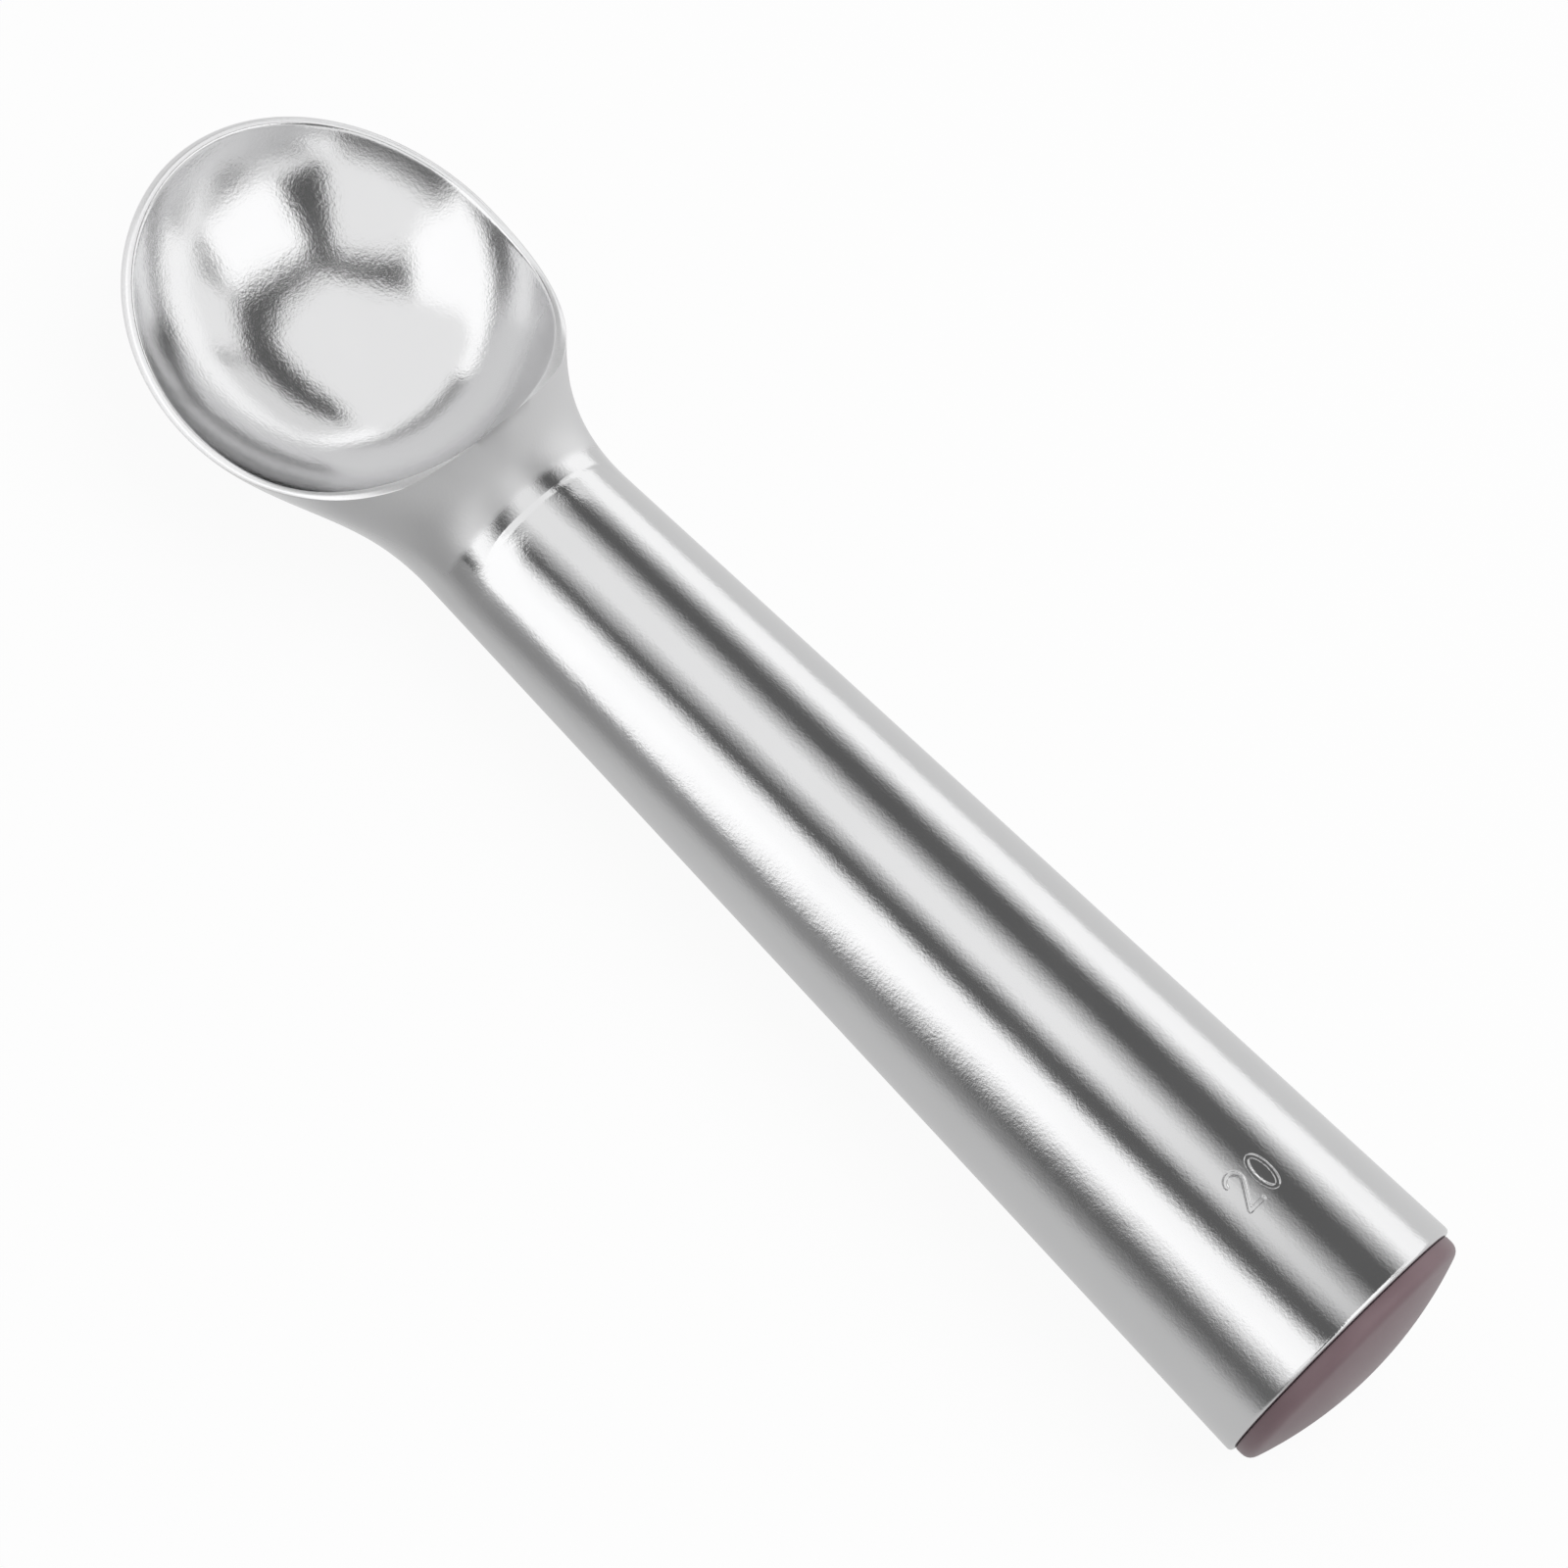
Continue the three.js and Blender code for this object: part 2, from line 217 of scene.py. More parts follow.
def shell_around_rim():
    """The egg that passes the rim's back, side and nose one wall away."""
    back, side, nose = inner_rim(np.array([[-1.0, 0, 0], [0, 1.0, 0], [1.0, 0, 0]]))
    centre_height = hollow.centre_height - SHELL_DROP
    depth = hollow.depth + FLOOR_WALL - SHELL_DROP
    back_span, side_span, nose_span = (
        math.sqrt(1 - ((point[2] - centre_height) / depth) ** 2) for point in (back, side, nose)
    )
    half_length = (nose[0] - back[0] + RIM_BACK_WALL + RIM_NOSE_WALL) / (back_span + nose_span)
    centre_x = nose[0] + RIM_NOSE_WALL - half_length * nose_span
    along = (side[0] - centre_x) / half_length
    half_width = (side[1] + RIM_SIDE_WALL) / math.sqrt(side_span**2 - along**2)
    return Egg(centre_x, centre_height, half_length, half_width, depth, nose_lift=0.0)


def smooth_step(value, low=0.0, high=1.0):
    share = np.clip((value - low) / (high - low), 0, 1)
    return share * share * (3 - 2 * share)


def handle_radius(x):
    return HANDLE_END_RADIUS + (HANDLE_FRONT_RADIUS - HANDLE_END_RADIUS) * x / HANDLE_LENGTH


def filleted_union(first, second, fillet):
    near = np.maximum(fillet - np.abs(first - second), 0) / fillet
    return np.minimum(first, second) - near * near * fillet / 4


shell = shell_around_rim()


def skin_distance(points):
    """The whole outside of the casting, below zero in the metal."""
    x, y, z = np.moveaxis(points, -1, 0)
    radius = np.hypot(y, z)
    upward = z / np.maximum(radius, TINY)
    stepped = smooth_step(upward, SHOULDER_SPREAD, 1)
    neck_radius = handle_radius(x) - SHOULDER_STEP * stepped
    taper = np.maximum(0, (x - NECK_TAPER_X) / NECK_TAPER_LENGTH)
    neck = (np.hypot(taper, radius / neck_radius) - 1) * neck_radius
    higher = smooth_step(upward, -NECK_FILLET_BAND, NECK_FILLET_BAND)
    fillet = NECK_FILLET_UNDER + (NECK_FILLET_TOP - NECK_FILLET_UNDER) * higher
    proud = radius - handle_radius(x)
    shoulder = proud + (x - HANDLE_LENGTH) * SHOULDER_STEP / SHOULDER_RUN
    handle = -filleted_union(-proud, -shoulder, CREST_ROUND)
    swelling = filleted_union(neck, shell.distance(points), fillet)
    return filleted_union(swelling, handle, np.maximum(FOOT_ROUND * stepped, TINY))


print("outer egg:", round(2 * shell.half_length, 1), "long,", round(2 * shell.half_width, 1), "wide")

# %% [markdown]
# ## Rows of the bowl and its lip
#
# The casting is one closed skin, a stack of loops like the rings of an onion that is turned inside out:
# up the bowl's inside, over the lip, round the outside to the butt end, and back in through the bore.
# The lip is a narrow level land and a bevel that thins it from outside; at the back, where the neck
# fills in, the bevel fades out. Their edges are broken by a few rows on a curve, so that each catches a
# thin line of light.

# %% Bowl and lip rows
BOWL_ROWS = 96
RIM_LAND = 0.6
RIM_BEVEL = math.tan(math.radians(55))
BEVEL_FADE = math.cos(math.radians(60))
EDGE_SHARE = 0.3
EDGE_ROWS = 6
UP = np.array([0.0, 0.0, 1.0])

bowl_eye = np.array([BOWL_CENTRE_X, 0.0, RIM_LOW_HEIGHT])


def bowl_row(share):
    """A loop of the hollow: 0 is straight below the bowl's centre, 1 is the rim's inner edge."""
    to_edge = unit(inner_edge - bowl_eye)
    swing = np.arccos(-to_edge[:, 2]) * share
    directions = headings * np.sin(swing)[:, None] - UP * np.cos(swing)[:, None]
    return leave(bowl_eye, directions, hollow.distance, BEYOND_BOWL)


def away_from_rim(edge, fall):
    """Directions that lead outward along the rim's own slope and fall below it."""
    slope = 2 * rim_curve(edge[:, 0]) * (edge[:, 0] - RIM_LOW_X)
    return headings + UP * (slope * headings[:, 0] - fall)[:, None]


def rounded(before, corner, after):
    """Rows that lead round a corner on a smooth curve."""
    return [
        (1 - share) ** 2 * before + 2 * share * (1 - share) * corner + share**2 * after
        for share in np.linspace(0, 1, EDGE_ROWS)
    ]


bowl_rows = [bowl_row(share) for share in np.linspace(0, 1, BOWL_ROWS + 1)[1:-1]]
land_edge = inner_edge + away_from_rim(inner_edge, 0) * RIM_LAND
bevel_fall = RIM_BEVEL * (1 - smooth_step(np.cos(turns), BEVEL_FADE, 1))
outward = unit(away_from_rim(land_edge, bevel_fall))
outer_edge = leave(land_edge, outward, skin_distance, hollow.half_width)
land, bevel = land_edge - inner_edge, outer_edge - land_edge
inner_round = rounded(bowl_rows.pop(), inner_edge, inner_edge + land * EDGE_SHARE)
land_round = rounded(land_edge - land * EDGE_SHARE, land_edge, land_edge + bevel * EDGE_SHARE)
print("bevel is", np.linalg.norm(bevel, axis=1).round(2).min(), "mm at its narrowest")

# %% [markdown]
# ## Rows of the outside
#
# From the lip to the shoulder the loops turn like the leaves of a book, from lying flat to standing
# upright. That keeps the quads even both under the nose and in the tight saddle behind the bowl. Across
# the shoulder the rows lie a tenth of a millimetre apart, because a crease is only as crisp as its
# mesh.

# %% Rows from the lip to the handle
SWING_ROWS = 120
SWING_END_X = HANDLE_LENGTH + SHOULDER_RUN + 1
SHOULDER_END_X = HANDLE_LENGTH - 2
SHOULDER_ROWS = 40

swing_start = np.array([BOWL_CENTRE_X, 0.0, RIM_LOW_HEIGHT - RIM_SIDE_WALL])
swing_end = np.array([SWING_END_X, 0.0, 0.0])


def swinging_row(share):
    """A loop round the outside: 0 lies flat at the rim, 1 stands upright at the shoulder."""
    swing = (share + smooth_step(share)) / 2
    x, y, z = np.moveaxis(unit(outer_edge - swing_start), -1, 0)
    z = z * (1 - swing)
    sine, cosine = math.sin(swing * math.pi / 2), math.cos(swing * math.pi / 2)
    directions = unit(np.stack([x * cosine + z * sine, y, z * cosine - x * sine], axis=-1))
    centre = swing_start + (swing_end - swing_start) * share
    return leave(centre, directions, skin_distance, BEYOND_BOWL)


def upright_row(x):
    directions = np.stack([np.zeros_like(turns), np.sin(turns), np.cos(turns)], axis=-1)
    return leave(np.array([x, 0.0, 0.0]), directions, skin_distance, BEYOND_BOWL)


swinging_rows = [swinging_row(share) for share in np.linspace(0, 1, SWING_ROWS + 1)[1:]]
outer_round = rounded(outer_edge - bevel * EDGE_SHARE, outer_edge, swinging_rows.pop(0))
shoulder_rows = [upright_row(x) for x in np.linspace(SWING_END_X, SHOULDER_END_X, SHOULDER_ROWS)[1:]]
print(len(swinging_rows) + len(shoulder_rows), "rows between the lip and the handle")

# %% [markdown]
# ## The number on the handle
#
# A trade number is stamped into the handle near its butt end: how many scoops of this size fill a
# quart. It could be cut with a text object and a boolean, but that leaves ragged triangles on a curved
# mirror. Here the digits are drawn as a line, and each point of the handle sinks by how close it lies
# to that line.

# %% Stamped digits
NUMBER_X = 17.0
DIGIT_HALF_WIDTH = 0.95
DIGIT_HALF_HEIGHT = 2.05
DIGIT_SPACING = 1.5
STROKE_HALF_WIDTH = 0.22
STROKE_SOFTNESS = 0.13
STAMP_DEPTH = 0.15
CURVE_POINTS = 40
BOW_START = math.radians(170)
BOW_END = math.radians(-38)


def digit_two(middle):
    """Centre line of a two: an open bow, a slanted stroke and a foot."""
    bow = np.linspace(BOW_START, BOW_END, CURVE_POINTS)
    bow_height = DIGIT_HALF_HEIGHT - DIGIT_HALF_WIDTH
    line = np.stack([DIGIT_HALF_WIDTH * np.cos(bow), bow_height + DIGIT_HALF_WIDTH * np.sin(bow)], axis=-1)
    foot = [(-DIGIT_HALF_WIDTH, -DIGIT_HALF_HEIGHT), (DIGIT_HALF_WIDTH, -DIGIT_HALF_HEIGHT)]
    return np.concatenate([line, foot]) + (middle, 0)


def digit_zero(middle):
    """Centre line of a zero: a closed oval."""
    oval = np.linspace(0, 2 * math.pi, CURVE_POINTS)
    line = np.stack([DIGIT_HALF_WIDTH * np.cos(oval), DIGIT_HALF_HEIGHT * np.sin(oval)], axis=-1)
    return line + (middle, 0)


def distance_to_line(places, line):
    """Distance from each place to the nearest stretch of a line of points."""
    nearest = np.full(len(places), np.inf)
    for start, end in zip(line[:-1], line[1:]):
        stretch = end - start
        share = np.clip((places - start) @ stretch / (stretch @ stretch), 0, 1)
        nearest = np.minimum(nearest, np.linalg.norm(places - start - share[:, None] * stretch, axis=1))
    return nearest


digit_lines = [digit_two(-DIGIT_SPACING), digit_zero(DIGIT_SPACING)]
signed_turns = np.where(turns > math.pi, turns - 2 * math.pi, turns)


def circle(x, radius):
    return np.stack([np.full_like(turns, x), radius * np.sin(turns), radius * np.cos(turns)], axis=-1)


def stamped_row(x):
    """A loop of the handle with its points sunk along the digits."""
    radius = handle_radius(x)
    places = np.stack([-radius * signed_turns, np.full_like(turns, x - NUMBER_X)], axis=-1)
    nearest = np.minimum.reduce([distance_to_line(places, line) for line in digit_lines])
    edge = STROKE_HALF_WIDTH + STROKE_SOFTNESS / 2
    sunk = STAMP_DEPTH * (1 - smooth_step(nearest, edge - STROKE_SOFTNESS, edge))
    return circle(x, radius - sunk)


print("the number is", round(2 * (DIGIT_HALF_HEIGHT + STROKE_HALF_WIDTH), 2), "mm tall")

# %% [markdown]
# ## Handle, butt end and bore
#
# The handle is a plain cone. Its butt edge is rounded over, and behind it lie the seat of the plug and
# the long bore that holds the liquid. They are hidden, but the part can be cut open, so they are real.

# %% Handle, seat and bore rows
STAMP_REACH = 2.9
STAMP_ROWS = 84
HANDLE_ROWS = 30
BUTT_ROWS = 5
BUTT_ROUND = 0.6
HANDLE_WALL = 3.0
PLUG_SEAT_DEPTH = 16.0
PLUG_SEAT_WALL = 2.2
PLUG_SEAT_RADIUS = handle_radius(PLUG_SEAT_DEPTH) - PLUG_SEAT_WALL
SEAT_EDGE = 0.2
BORE_END_X = HANDLE_LENGTH - 8.3
BORE_NOSE = 6.0
BORE_ROWS = 6
NOSE_ROWS = 10


def bore_radius(x):
    return handle_radius(x) - HANDLE_WALL


stamp_front = NUMBER_X + STAMP_REACH
stamp_back = NUMBER_X - STAMP_REACH
front_x = np.linspace(SHOULDER_END_X, stamp_front, HANDLE_ROWS)[1:-1]
back_x = np.linspace(stamp_back, BUTT_ROUND, BUTT_ROWS)[1:-1]
handle_rows = [circle(x, handle_radius(x)) for x in front_x]
handle_rows += [stamped_row(x) for x in np.linspace(stamp_front, stamp_back, STAMP_ROWS)]
handle_rows += [circle(x, handle_radius(x)) for x in back_x]
butt_rows = rounded(
    circle(BUTT_ROUND, handle_radius(BUTT_ROUND)), circle(0, HANDLE_END_RADIUS),
    circle(0, HANDLE_END_RADIUS - BUTT_ROUND),
)
seat_rows = [
    circle(0, PLUG_SEAT_RADIUS + SEAT_EDGE), circle(SEAT_EDGE, PLUG_SEAT_RADIUS),
    circle(PLUG_SEAT_DEPTH, PLUG_SEAT_RADIUS), circle(PLUG_SEAT_DEPTH, bore_radius(PLUG_SEAT_DEPTH)),
]
nose_x = BORE_END_X - BORE_NOSE
bore_rows = [circle(x, bore_radius(x)) for x in np.linspace(PLUG_SEAT_DEPTH, nose_x, BORE_ROWS)[1:-1]]
bore_rows += [
    circle(nose_x + BORE_NOSE * math.sin(angle), bore_radius(nose_x) * math.cos(angle))
    for angle in np.linspace(0, math.pi / 2, NOSE_ROWS + 1)[:-1]
]
print(len(handle_rows) + len(butt_rows), "handle rows,", len(seat_rows) + len(bore_rows), "rows inside")

# %% [markdown]
# ## One closed skin
#
# The loops become quads row by row, and the two ends are drawn together to a point. Shading is smooth,
# except where two faces meet at a real angle, such as at the plug's ledge.

# %% Skin of loops
SHARP_ANGLE = math.radians(40)


def closed_faces(row_count, step_count):
    """Faces of a skin: a first point, loops of points, and a last point."""
    step = np.arange(step_count)
    following = (step + 1) % step_count
    last = 1 + row_count * step_count
    faces = [(0, 1 + b, 1 + a) for a, b in zip(step, following)]
    for row in range(row_count - 1):
        here = 1 + row * step_count
        there = here + step_count
        faces += [(here + a, here + b, there + b, there + a) for a, b in zip(step, following)]
    final = last - step_count
    return faces + [(last, final + a, final + b) for a, b in zip(step, following)]


def mesh_piece(name, points, faces):
    """A smooth-shaded object from points of the handle's own frame."""
    mesh = bpy.data.meshes.new(name)
    mesh.from_pydata(to_table(points).tolist(), [], [tuple(int(i) for i in face) for face in faces])
    mesh.shade_smooth()
    mesh.set_sharp_from_angle(angle=SHARP_ANGLE)
    mesh.update()
    piece = bpy.data.objects.new(name, mesh)
    bpy.context.scene.collection.objects.link(piece)
    return piece


bowl_skin = bowl_rows + inner_round
lip_skin = land_round + outer_round
outer_skin = swinging_rows + shoulder_rows + handle_rows + butt_rows
inner_skin = seat_rows + bore_rows
loops = bowl_skin + lip_skin + outer_skin + inner_skin
bowl_floor = leave(bowl_eye, -UP[None, :], hollow.distance, BEYOND_BOWL)
points = np.concatenate([bowl_floor, *loops, [[BORE_END_X, 0, 0]]])
casting = mesh_piece("polished_casting", points, closed_faces(len(loops), len(turns)))
print("casting:", len(casting.data.vertices), "points,", len(casting.data.polygons), "faces")

# %% [markdown]
# ## Pieces turned on the lathe
#
# The cap, the plug and its ring are round, so each is an outline spun about the handle's axis. The
# cap's shallow dome runs into its flank over a soft edge, as a moulded part does, and its spigot goes
# into the plug's seat.

# %% Spin an outline
LATHE_STEPS = 144
DOME_ROWS = 28
FIT = 0.3
PLUG_LENGTH = 6.4
CAP_INSET = 0.65
CAP_RADIUS = HANDLE_END_RADIUS - CAP_INSET
CAP_FLANK = 1.75
CAP_EDGE_X = -FIT - CAP_FLANK
CAP_DOME_HEIGHT = 2.5
CAP_DOME_SPAN = CAP_RADIUS - 0.5
CAP_SOFT_EDGE = 1.0
CAP_FOOT_EDGE = 0.25
CAP_SEAM = 0.06
CAP_SKIN = 1.8


def spun(name, outline):
    """A closed piece from an outline of x and radius that starts and ends on the axis."""
    angles = np.linspace(0, 2 * math.pi, LATHE_STEPS, endpoint=False)
    rings = [
        np.stack([np.full_like(angles, x), r * np.sin(angles), r * np.cos(angles)], axis=-1)
        for x, r in outline[1:-1]
    ]
    ends = [[[x, 0, 0]] for x, _ in (outline[0], outline[-1])]
    ring_points = np.concatenate([ends[0], *rings, ends[1]])
    return mesh_piece(name, ring_points, closed_faces(len(rings), LATHE_STEPS))


def soft_corner(before, corner, after):
    """Points of an outline round a corner."""
    return [tuple(point) for point in rounded(*(np.array(p) for p in (before, corner, after)))]


def dome_x(radius):
    sphere = (CAP_DOME_SPAN**2 + CAP_DOME_HEIGHT**2) / (2 * CAP_DOME_HEIGHT)
    return CAP_EDGE_X - CAP_DOME_HEIGHT + sphere - np.sqrt(sphere**2 - radius**2)


plug_outer_x = PLUG_SEAT_DEPTH - FIT - PLUG_LENGTH
spigot_radius = PLUG_SEAT_RADIUS - FIT
spigot_end_x = plug_outer_x - FIT
cap_hollow = spigot_radius - CAP_SKIN
dome_end = CAP_RADIUS - CAP_SOFT_EDGE
cap_outline = [(dome_x(r), r) for r in np.linspace(0, dome_end, DOME_ROWS)[:-1]]
cap_outline += soft_corner(
    (dome_x(dome_end), dome_end), (dome_x(CAP_RADIUS), CAP_RADIUS),
    (dome_x(CAP_RADIUS) + CAP_SOFT_EDGE, CAP_RADIUS),
)
cap_outline += soft_corner(
    (-CAP_SEAM - CAP_FOOT_EDGE, CAP_RADIUS), (-CAP_SEAM, CAP_RADIUS),
    (-CAP_SEAM, CAP_RADIUS - CAP_FOOT_EDGE),
)
cap_outline += [
    (-CAP_SEAM, spigot_radius), (spigot_end_x - CAP_FOOT_EDGE, spigot_radius),
    (spigot_end_x, spigot_radius - CAP_FOOT_EDGE), (spigot_end_x, cap_hollow),
    (CAP_EDGE_X + CAP_SKIN, cap_hollow), (CAP_EDGE_X + CAP_SKIN, 0),
]
cap = spun("plum_end_cap", cap_outline)
print("cap:", len(cap.data.vertices), "points, dome", CAP_DOME_HEIGHT, "mm high")

# %% [markdown]
# ## Plug, ring and liquid
#
# Inside, a turned plug stops on the ledge of its seat, and a rubber ring lies in its groove. The liquid
# fills the bore up to a level surface, with air above it: its loops are circles that are cut off at
# that level.

# %% Plug, ring and liquid
PLUG_FLOOR = 2.2
PLUG_WALL = 2.0
PLUG_EDGE = 0.3
RING_SECTION = 1.8
RING_STEPS = 20
FLUID_HEIGHT = 5.0
FLUID_ARC_STEPS = 64
FLUID_ROWS = 8

plug_inner_x = PLUG_SEAT_DEPTH - FIT
plug_radius = PLUG_SEAT_RADIUS - FIT
ring_x = (plug_inner_x + plug_outer_x) / 2
groove = RING_SECTION / 2 + FIT
groove_radius = plug_radius - RING_SECTION - FIT
plug_hollow = groove_radius - PLUG_WALL
plug = spun("turned_plug", [
    (plug_inner_x - PLUG_FLOOR, 0), (plug_inner_x - PLUG_FLOOR, plug_hollow), (plug_outer_x, plug_hollow),
    (plug_outer_x, plug_radius - PLUG_EDGE), (plug_outer_x + PLUG_EDGE, plug_radius),
    (ring_x - groove, plug_radius), (ring_x - groove, groove_radius),
    (ring_x + groove, groove_radius), (ring_x + groove, plug_radius),
    (plug_inner_x - PLUG_EDGE, plug_radius), (plug_inner_x, plug_radius - PLUG_EDGE), (plug_inner_x, 0),
])


def rubber_ring():
    """A ring of round section, made as loops that close on themselves."""
    middle = plug_radius - RING_SECTION / 2
    around, section = np.meshgrid(
        np.linspace(0, 2 * math.pi, LATHE_STEPS, endpoint=False),
        np.linspace(0, 2 * math.pi, RING_STEPS, endpoint=False), indexing="ij",
    )
    radius = middle + RING_SECTION / 2 * np.cos(section)
    ring_points = np.stack([
        ring_x + RING_SECTION / 2 * np.sin(section), radius * np.sin(around), radius * np.cos(around),
    ], -1)
    index = np.arange(LATHE_STEPS * RING_STEPS).reshape(LATHE_STEPS, RING_STEPS)
    onward, round_section = np.roll(index, -1, 0), np.roll(index, -1, 1)
    corners = np.stack([index, onward, np.roll(onward, -1, 1), round_section], -1)
    return mesh_piece("rubber_ring", ring_points.reshape(-1, 3), corners.reshape(-1, 4))


def fluid_row(x, radius):
    """The wetted part of a circle, from the surface's one edge down and round to the other."""
    level = FLUID_HEIGHT + (x - (PLUG_SEAT_DEPTH + BORE_END_X) / 2) * math.tan(LEAN)
    edge = math.acos(np.clip(level / radius, -1, 1))
    arc = np.linspace(edge, 2 * math.pi - edge, FLUID_ARC_STEPS)
    return np.stack([np.full_like(arc, x), radius * np.sin(arc), radius * np.cos(arc)], axis=-1)


def fluid_charge():
    """The liquid: wetted loops from the plug's ledge to the bore's nose."""
    rows = [fluid_row(x, bore_radius(x) - FIT) for x in np.linspace(PLUG_SEAT_DEPTH, nose_x, FLUID_ROWS)]
    for angle in np.linspace(0, math.pi / 2, NOSE_ROWS)[1:-1]:
        radius = (bore_radius(nose_x) - FIT) * math.cos(angle)
        rows.append(fluid_row(nose_x + (BORE_NOSE - FIT) * math.sin(angle), radius))
    first, last = (row.mean(axis=0, keepdims=True) for row in (rows[0], rows[-1]))
    return mesh_piece("liquid_charge", np.concatenate([first, *rows, last]), [
        face[::-1] for face in closed_faces(len(rows), FLUID_ARC_STEPS)
    ])


ring = rubber_ring()
fluid = fluid_charge()
print("inside:", [(piece.name, len(piece.data.vertices)) for piece in (plug, ring, fluid)])

# %% [markdown]
# ## Shader maths
#
# A finish is a small network of nodes. Wired by hand it hides its own idea, so a socket is wrapped in a
# class: an expression such as `1 - mask` adds the Math node by itself, and one method adds any other
# node.

# %% Wires and nodes


class Wire:
    """An output socket of a node that can be used in a Python expression."""

    def __init__(self, nodes, socket):
        self.nodes = nodes
        self.socket = socket

    def math(self, operation, first, second):
        return self.nodes.add("ShaderNodeMath", {"operation": operation}, {0: first, 1: second})

    def __add__(self, other):
        return self.math("ADD", self, other)

    def __radd__(self, other):
        return self.math("ADD", other, self)

    def __sub__(self, other):
        return self.math("SUBTRACT", self, other)

    def __rsub__(self, other):
        return self.math("SUBTRACT", other, self)

    def __mul__(self, other):
        return self.math("MULTIPLY", self, other)

    def __rmul__(self, other):
        return self.math("MULTIPLY", other, self)


class Nodes:
    """A node tree, with one method that adds any node."""

    def __init__(self, tree):
        self.tree = tree
        tree.nodes.clear()

    def add(self, kind, settings=None, sockets=None, output=0):
        node = self.tree.nodes.new(kind)
        for name, value in (settings or {}).items():
            setattr(node, name, value)
        for key, value in (sockets or {}).items():
            if isinstance(value, Wire):
                self.tree.links.new(value.socket, node.inputs[key])
            else:
                node.inputs[key].default_value = value
        return Wire(self, node.outputs[output]) if node.outputs else None

    def place(self):
        """Where a point lies in the solid, in metres."""
        return self.add("ShaderNodeTexCoord", output="Object")

    def noise(self, scale, detail=2.0, roughness=0.5):
        """Noise through the solid, in grains per metre."""
        sockets = {"Vector": self.place(), "Scale": scale, "Detail": detail, "Roughness": roughness}
        return self.add("ShaderNodeTexNoise", None, sockets)

    def tint(self, share, first, second):
        """A colour between two others."""
        sockets = {0: share, 6: first, 7: second}
        return self.add("ShaderNodeMix", {"data_type": "RGBA"}, sockets, output=2)

    def rise(self, value, first, last):
        """0 before a first value, 1 after a last one, and a soft change between them."""
        sockets = {"Value": value, "From Min": first, "From Max": last}
        return self.add("ShaderNodeMapRange", {"interpolation_type": "SMOOTHSTEP"}, sockets)

    def bump(self, height, depth, normal=None):
        """A surface normal from a height; the depth is in metres."""
        sockets = {"Height": height, "Distance": depth}
        if normal:
            sockets["Normal"] = normal
        return self.add("ShaderNodeBump", None, sockets)


def finish(name, build):
    """A material whose shader is made by a function of its nodes."""
    material = bpy.data.materials.new(name)
    material.use_nodes = True
    nodes = Nodes(material.node_tree)
    shader = nodes.add("ShaderNodeBsdfPrincipled", None, build(nodes))
    nodes.add("ShaderNodeOutputMaterial", None, {"Surface": shader})
    return material


print("shader helpers are ready")

# %% [markdown]
# ## Polished aluminium
#
# The casting is buffed to a bright shine, but the metal keeps a fine orange-peel grain, which frays the
# edges of everything that it mirrors. Real bumps that small would need millions of faces, so a shallow
# bump does it: it tilts the normals by a degree or two. Wider clouds make the shine a little uneven, as
# a hand-held buff does. The hollow behind the rim is duller: a wheel reaches it badly, and a bright
# mirror there would show the stripes of the canopy, which is made further down for the handle alone, as
# a star.

# %% Polished, ground and cast metal
# Places along the scoop and heights above the table, in metres.
HOLLOW_STARTS = (0.0358, 0.0372)
HOLLOW_ENDS = (0.056, 0.046)
HOLLOW_HEIGHT = (0.013, 0.020)
HOLLOW_DULLNESS = 0.36
GRAIN_DEPTH = 1.9e-5
BOWL_GRAIN_DEPTH = 1.8e-5
WAVE_DEPTH = 2.0e-5


def dull_share(nodes):
    """1 between shoulder and rim and on the bowl's upper back wall, 0 elsewhere."""
    along, upward = (
        nodes.add("ShaderNodeSeparateXYZ", None, {0: nodes.place()}, output=axis) for axis in "XZ"
    )
    behind_rim = nodes.rise(along, *HOLLOW_STARTS) * nodes.rise(along, *HOLLOW_ENDS)
    return behind_rim * nodes.rise(upward, *HOLLOW_HEIGHT)


def polished_aluminium(nodes, grain_depth=GRAIN_DEPTH):
    grain = nodes.noise(2900, detail=4, roughness=0.6)
    waves = nodes.noise(420, detail=1)
    clouds = nodes.noise(90, detail=3)
    return {
        "Base Color": nodes.tint(clouds, (0.73, 0.73, 0.735, 1), (0.77, 0.77, 0.775, 1)),
        "Metallic": 1.0,
        "Roughness": 0.07 + 0.08 * clouds + HOLLOW_DULLNESS * dull_share(nodes),
        "Normal": nodes.bump(grain, grain_depth, nodes.bump(waves, WAVE_DEPTH)),
    }


def buffed_bowl(nodes):
    return polished_aluminium(nodes, BOWL_GRAIN_DEPTH)


def ground_lip(nodes):
    grain = nodes.noise(3800, detail=4, roughness=0.7)
    return {
        "Base Color": nodes.tint(grain, (0.78, 0.78, 0.785, 1), (0.95, 0.95, 0.955, 1)),
        "Metallic": 1.0,
        "Roughness": 0.28 + 0.16 * grain,
        "Normal": nodes.bump(grain, 1.2e-5),
    }


def cast_bore(nodes):
    grain = nodes.noise(1800, detail=4, roughness=0.6)
    return {
        "Base Color": nodes.tint(grain, (0.50, 0.50, 0.51, 1), (0.66, 0.66, 0.67, 1)),
        "Metallic": 1.0,
        "Roughness": 0.45 + 0.2 * grain,
        "Normal": nodes.bump(grain, 4e-5),
    }


